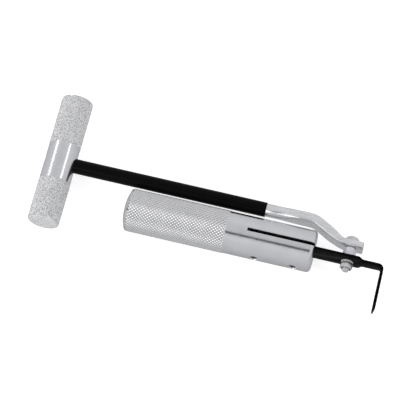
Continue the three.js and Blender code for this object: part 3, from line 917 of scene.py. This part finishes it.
def pivot_nut(material):
    low, high = NUT
    shape = hex_piece(low.y, high.y, NUT_FACE_RADIUS, NUT_FACE_RADIUS, NUT_TURN)
    shape = softened(drilled(shape, low.y, high.y, BOLT_RADIUS + THREAD_CLEARANCE), 0.12)
    piece("pivot_nut_detail", shape, [material], "blade", ["pivot_nut"])


def lock_washer(material):
    """A split spring washer: a square-section ring with a cut, its ends slightly apart in height."""
    low, high = span("lock_washer")
    outer = (high.z - low.z) / 2
    inner = BOLT_HOLE_RADIUS
    rings = []
    for k in range(WASHER_STEPS + 1):
        angle = WASHER_CUT / 2 + (2 * math.pi - WASHER_CUT) * k / WASHER_STEPS
        lift = WASHER_LIFT * (k / WASHER_STEPS - 0.5)
        ring = []
        for radius, y in ((inner, low.y), (outer, low.y), (outer, high.y), (inner, high.y)):
            y = max(low.y, min(high.y, y + lift))
            ring.append((BOLT_X + radius * math.cos(angle), y, radius * math.sin(angle)))
        rings.append(ring)
    shape = softened(lofted(rings), 0.1)
    piece("lock_washer_detail", shape, [material], "blade",
          ["lock_washer"])


def smoothstep(x, low, high):
    """Rises smoothly from 0 at `low` to 1 at `high`."""
    t = min(1, max(0, (x - low) / (high - low)))
    return t * t * (3 - 2 * t)


def rod_section(x):
    """Half thickness, half width and the two reaches of the rounded corners of the rod at x."""
    flat = smoothstep(x, BOLT_X - FLATTENING_FROM_BOLT[0], BOLT_X - FLATTENING_FROM_BOLT[1])
    eye = smoothstep(x, BOLT_X - EYE_TAPER_FROM_BOLT, BOLT_X - JOGGLE_FROM_BOLT[1])
    arm = ARM_THICKNESS + (EYE_THICKNESS - ARM_THICKNESS) * eye
    thickness = ROD_RADIUS + (arm / 2 - ROD_RADIUS) * flat
    width = ROD_RADIUS + (ARM_WIDTH / 2 - ROD_RADIUS) * flat
    into_corner = max(0, x - (ROD[1].x - EYE_CORNER_RADIUS))
    corner = EYE_CORNER_RADIUS - math.sqrt(max(0, EYE_CORNER_RADIUS ** 2 - into_corner ** 2))
    edge = [ROD_RADIUS + (reach - ROD_RADIUS) * flat for reach in ARM_EDGE_REACH]
    return thickness, width - corner, *edge


def rounded_section(thickness, width, edge_across, edge_along):
    """Points round a rectangle with elliptical corners: (across the thickness, across the width)."""
    steps = 10  # round each corner
    points = []
    for quadrant in range(4):
        side = (1, -1, -1, 1)[quadrant]
        top = (1, 1, -1, -1)[quadrant]
        for k in range(steps + 1):
            angle = math.radians(90 * (quadrant + k / steps))
            points.append((side * (thickness - edge_across) + edge_across * math.cos(angle),
                           top * (width - edge_along) + edge_along * math.sin(angle)))
    return points


def pull_rod():
    """Round rod that is flattened, bent down a joggle and ends in a flat eye on the bolt."""
    start = SLEEVE[1].x - 1
    bends = [(BOLT_X - JOGGLE_FROM_BOLT[0], ROD_Y, JOGGLE_RADII[0]),
             (BOLT_X - JOGGLE_FROM_BOLT[1], EYE_Y, JOGGLE_RADII[1])]
    route = filleted([(start, ROD_Y, 0), *bends, (ROD[1].x, EYE_Y, 0)], steps=14)
    rings = []
    for first, second in zip(route, route[1:]):
        direction = (second - first).normalized()
        side = Vector((-direction.y, direction.x))
        count = max(1, round((second - first).length / RING_SPACING))
        last = second is route[-1]
        for k in range(count + (1 if last else 0)):
            centre = first.lerp(second, k / count)
            ring = []
            for across_flat, across_wide in rounded_section(*rod_section(centre.x)):
                point = centre + side * across_flat
                ring.append((point.x, point.y, across_wide))
            rings.append(ring)
    shaped = lofted(rings)
    core = bore("X", (ROD_Y, 0), ROD_CORE_RADIUS, ROD[0].x, start + 1, ROD_STEPS)
    shape = fused(shaped, core)
    hole = bore("Y", (BOLT_X, 0), BOLT_HOLE_RADIUS, EYE_Y - EYE_THICKNESS, EYE_Y + EYE_THICKNESS)
    screw_hole = bore("X", (ROD_Y, 0), ROD_SCREW_HOLE_RADIUS, ROD[0].x - 1,
                      ROD[0].x + ROD_SCREW_HOLE_DEPTH)
    shape = softened(cut(shape, hole, screw_hole), 0.12, 2, 50)
    piece("pull_rod_detail", shape, [plated_rod("rod plate")], "pull_bar",
          ["pull_rod"], 40)


def rod_sleeve():
    low, high = SLEEVE
    radius = (high.z - low.z) / 2
    inner = ROD_CORE_RADIUS + CORE_CLEARANCE
    profile = filleted([
        (low.x, inner, SLEEVE_BORE_EDGE_RADIUS), (low.x, radius, SLEEVE_EDGE_RADII[0]),
        (high.x, radius, SLEEVE_EDGE_RADII[1]), (high.x, inner, SLEEVE_BORE_EDGE_RADIUS)])
    shape = turned(profile, "X", (ROD_Y, 0), ROD_STEPS, ring=True)
    piece("rod_sleeve_detail", shape, [black_sleeve("sleeve")], "pull_bar",
          ["rod_sleeve"])


def tee_end_profile():
    """(distance from the end, radius) from the tee's axis to where its knurl starts."""
    rim = TEE_RADIUS - TEE_END_RADIUS
    points = [(0.0, 0.0), (0.0, END_FLAT_RADIUS)]
    for k in range(1, 9):
        t = k / 8
        points.append((TEE_END_DOME * t * t, END_FLAT_RADIUS + (rim - END_FLAT_RADIUS) * t))
    stop = math.asin(1 - TEE_KNURL_SETBACK / TEE_END_RADIUS)
    for k in range(1, 9):
        angle = math.pi / 2 + (stop - math.pi / 2) * k / 8
        along = TEE_END_DOME + TEE_END_RADIUS * (1 - math.sin(angle))
        points.append((along, rim + TEE_END_RADIUS * math.cos(angle)))
    return points + [(TEE_END_DOME + TEE_KNURL_SETBACK, TEE_RADIUS - TEE_KNURL_DEPTH - KNURL_BED)]


def tee_body(low, high, band):
    """The turned bar of the tee with the seats for the rod, the sleeve and the screw."""
    near = [(low + along, radius) for along, radius in tee_end_profile()]
    far = [(high - along, radius) for along, radius in reversed(tee_end_profile())]
    lip, *rings = TEE_BAND_RINGS
    edge = [(lip, TEE_RADIUS - TEE_KNURL_DEPTH - KNURL_BED), (lip, TEE_SMOOTH_RADIUS - TEE_BAND_DROP)]
    edge += [(ring, TEE_SMOOTH_RADIUS) for ring in rings]
    middle = [(band[0] + inset, radius) for inset, radius in edge]
    middle += [(band[1] - inset, radius) for inset, radius in reversed(edge)]
    body = turned(near + middle + far, "Y", (TEE_X, 0), HANDLE_STEPS)
    axis = (ROD_Y, 0)
    seat_gap, seat_clearance = TEE_SEAT
    seat = bore("X", axis, (SLEEVE[1].z - SLEEVE[0].z) / 2 + seat_clearance, SLEEVE[0].x - seat_gap,
                TEE_X + TEE_RADIUS + 1, 96)
    socket = bore("X", axis, ROD_CORE_RADIUS + CORE_CLEARANCE, TEE_X + TEE_SOCKET_END,
                  TEE_X + TEE_RADIUS)
    head_end = span("tee_screw")[0].x + TEE_SCREW_HEAD_LENGTH
    counterbore = bore("X", axis, TEE_COUNTERBORE_RADIUS, TEE_X - TEE_RADIUS - 1,
                       head_end + TEE_SCREW_HEAD_GAP)
    through = bore("X", axis, ROD_SCREW_HOLE_RADIUS, TEE_X - TEE_RADIUS, TEE_X)
    return cut(body, seat, socket, counterbore, through)


def tee():
    low, high = TEE[0].y, TEE[1].y
    band = [ROD_Y + edge for edge in TEE_BAND]
    bar = (low + TEE_END_DOME, high - TEE_END_DOME)
    body = tee_body(low, high, band)
    knurls = []
    for ends in ((bar[0] + TEE_KNURL_SETBACK, band[0] + TEE_BAND_RINGS[0]),
                 (band[1] - TEE_BAND_RINGS[0], bar[1] - TEE_KNURL_SETBACK)):
        knurls.append(knurled(TEE_RADIUS, TEE_KNURL_DEPTH, TEE_KNURL_TEETH, TEE_KNURL_LEAD, ends,
                              bar, TEE_END_RADIUS, "Y", (TEE_X, 0)))
    for knurl in knurls:
        paint(knurl, 1, lambda polygon: True)
    skins = [turned_aluminium("tee turned", "Y"),
             knurled_aluminium("tee knurl", "Y", (TEE_X, 0), TEE_RADIUS, TEE_KNURL_DEPTH,
                               0.75, 0.58, 0.4),
             peened_aluminium("tee end")]
    shape = piece("tee", gathered(body, *knurls), skins, "pull_bar", ["tee_grip"], 48)
    reach = ((high - low) / 2 - TEE_END_DOME - TEE_KNURL_SETBACK) * MM
    middle = ORIGIN.y + (low + high) / 2 * MM
    paint(shape, 2, lambda p: p.material_index == 0 and abs(p.center.y - middle) > reach)


def tee_screw(material):
    low, high = span("tee_screw")
    radius = (high.z - low.z) / 2
    shank = TEE_SCREW_SHANK_RADIUS
    head_end = low.x + TEE_SCREW_HEAD_LENGTH
    profile = filleted([(low.x, 0, 0), (low.x, radius, 0.5), (head_end, radius, 0.2),
                        (head_end, shank, 0.2), (high.x, shank, 0.3), (high.x, 0, 0)])
    screw = turned(profile, "X", (ROD_Y, 0), 64)
    socket = extruded(shifted(hexagon(TEE_SCREW_SOCKET_FLATS), ROD_Y, 0), "X", low.x - 1,
                      low.x + TEE_SCREW_SOCKET_DEPTH)
    piece("tee_screw_detail", softened(cut(screw, socket), 0.08), [material], "pull_bar",
          ["tee_screw"])


# ---- studio, in metres ----

CORNERS = ((-1, -1), (1, -1), (1, 1), (-1, 1))
FLOOR_HALF = 3
FLOOR_LEVEL = -0.0001
DARK_GAP_DISTANCE = 1.6
DARK_GAP_HALF = (0.5, 0.16)

# Name, azimuth, elevation, distance, size and power
LAMPS = (
    ("right lamp", 122.2, 45.7, 1.1, (0.1, 0.1), 0.14),
    ("left lamp", 243.7, 33, 1.1, (0.1, 0.1), 0.18),
    ("left panel", 309, 38, 1.4, (1.3, 0.8), 4.4),
)

# Brightness of the white tent round the tool, by the height of the direction: -1 down, 1 up
TENT = ((-0.96, 0.42), (-0.74, 0.5), (-0.37, 0.57), (0, 0.61), (0.7, 0.68), (1, 0.59))


def toward(azimuth, elevation):
    """The direction from the tool to something at an azimuth and elevation in degrees."""
    a, e = math.radians(azimuth), math.radians(elevation)
    return Vector((math.sin(a) * math.cos(e), -math.cos(a) * math.cos(e), math.sin(e)))


def camera():
    back = toward(CAMERA_AZIMUTH, CAMERA_ELEVATION)
    right = Vector((math.cos(math.radians(CAMERA_AZIMUTH)), math.sin(math.radians(CAMERA_AZIMUTH)), 0))
    up = back.cross(right)
    turn = Matrix((right, up, back)).transposed() @ Matrix.Rotation(math.radians(CAMERA_ROLL), 3, "Z")
    data = bpy.data.cameras.new("camera")
    data.lens = CAMERA_LENS
    data.sensor_width = 36
    data.clip_end = 50
    made = bpy.data.objects.new("camera", data)
    target = ORIGIN + Vector(CAMERA_AIM) * MM
    made.matrix_world = Matrix.Translation(target + back * CAMERA_DISTANCE) @ turn.to_4x4()
    bpy.context.collection.objects.link(made)
    bpy.context.scene.camera = made


def softbox(name, azimuth, elevation, distance, size, power):
    """A rectangular area light that faces the tool."""
    data = bpy.data.lights.new(name, "AREA")
    data.shape = "RECTANGLE"
    data.size, data.size_y = size
    data.energy = power
    made = bpy.data.objects.new(name, data)
    made.location = toward(azimuth, elevation) * distance
    made.rotation_euler = toward(azimuth, elevation).to_track_quat("Z", "Y").to_euler()
    bpy.context.collection.objects.link(made)


def sheet(name, corners, surface):
    """A flat four-sided sheet."""
    mesh = bpy.data.meshes.new(name)
    mesh.from_pydata(corners, [], [(0, 1, 2, 3)])
    mesh.materials.append(surface.material)
    made = bpy.data.objects.new(name, mesh)
    bpy.context.collection.objects.link(made)
    return made


def dark_gap():
    """A dark card overhead that draws the dark line along the grip, seen only in reflections."""
    direction = toward(0, CAMERA_ELEVATION)
    along = Vector((1, 0, 0))
    across_gap = direction.cross(along)
    centre = direction * DARK_GAP_DISTANCE
    long, wide = DARK_GAP_HALF
    corners = [centre + along * x * long + across_gap * y * wide for x, y in CORNERS]
    surface = Surface("gap", 0, Base_Color=(0.01, 0.01, 0.01, 1), Roughness=1, Specular_IOR_Level=0)
    card = sheet("gap", corners, surface)
    card.visible_camera = False
    card.visible_diffuse = False
    card.visible_shadow = False
    card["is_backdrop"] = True


def studio():
    world = bpy.data.worlds.new("studio")
    world.use_nodes = True
    tree = world.node_tree
    direction = tree.nodes.new("ShaderNodeTexCoord").outputs["Generated"]
    parts = tree.nodes.new("ShaderNodeSeparateXYZ")
    height = tree.nodes.new("ShaderNodeMapRange")
    height.inputs["From Min"].default_value = -1
    ramp = tree.nodes.new("ShaderNodeValToRGB")
    points = ramp.color_ramp.elements
    while len(points) < len(TENT):
        points.new(0.5)
    for point, (up, shade) in zip(points, TENT):
        point.position = (up + 1) / 2
        point.color = (shade, shade, 1.03 * shade, 1)
    tree.links.new(direction, parts.inputs["Vector"])
    tree.links.new(parts.outputs["Z"], height.inputs["Value"])
    tree.links.new(height.outputs["Result"], ramp.inputs["Fac"])
    tree.links.new(ramp.outputs["Color"], tree.nodes["Background"].inputs["Color"])
    bpy.context.scene.world = world
    bpy.context.scene.view_settings.view_transform = "Standard"
    surface = Surface("floor", 0, Base_Color=(0.9, 0.9, 0.9, 1), Roughness=0.9,
                      Emission_Strength=0.6, Emission_Color=(1, 1, 1, 1))
    corners = [(x * FLOOR_HALF, y * FLOOR_HALF, FLOOR_LEVEL) for x, y in CORNERS]
    floor = sheet("floor", corners, surface)
    floor.visible_glossy = False
    floor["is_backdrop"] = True
    for lamp in LAMPS:
        softbox(*lamp)
    dark_gap()


camera()
studio()
zinc = zinc_plate("zinc", (0.93, 0.935, 0.94))
bright_zinc = pale_zinc("washer zinc", (0.8, 0.8, 0.81), (0.93, 0.93, 0.94))
screw_steel = worn_steel("screw steel")
grip()
clamp_screw("clamp_screw_front", screw_steel)
clamp_screw("clamp_screw_rear", screw_steel)
blade()
pivot_bolt(zinc)
pivot_spacer(pale_zinc("spacer zinc", (0.84, 0.82, 0.88), (0.96, 0.94, 1.0)))
lock_washer(bright_zinc)
# the nut's zinc carries painted shade round the bolt
pivot_nut(zinc_plate("zinc with painted shade", (0.93, 0.935, 0.94), BOLT_RADIUS))
pull_rod()
rod_sleeve()
tee()
tee_screw(zinc)

boxes = {"cad": CAD_BOX, "visual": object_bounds()}
{key: [list(corner) for corner in box] for key, box in boxes.items()}
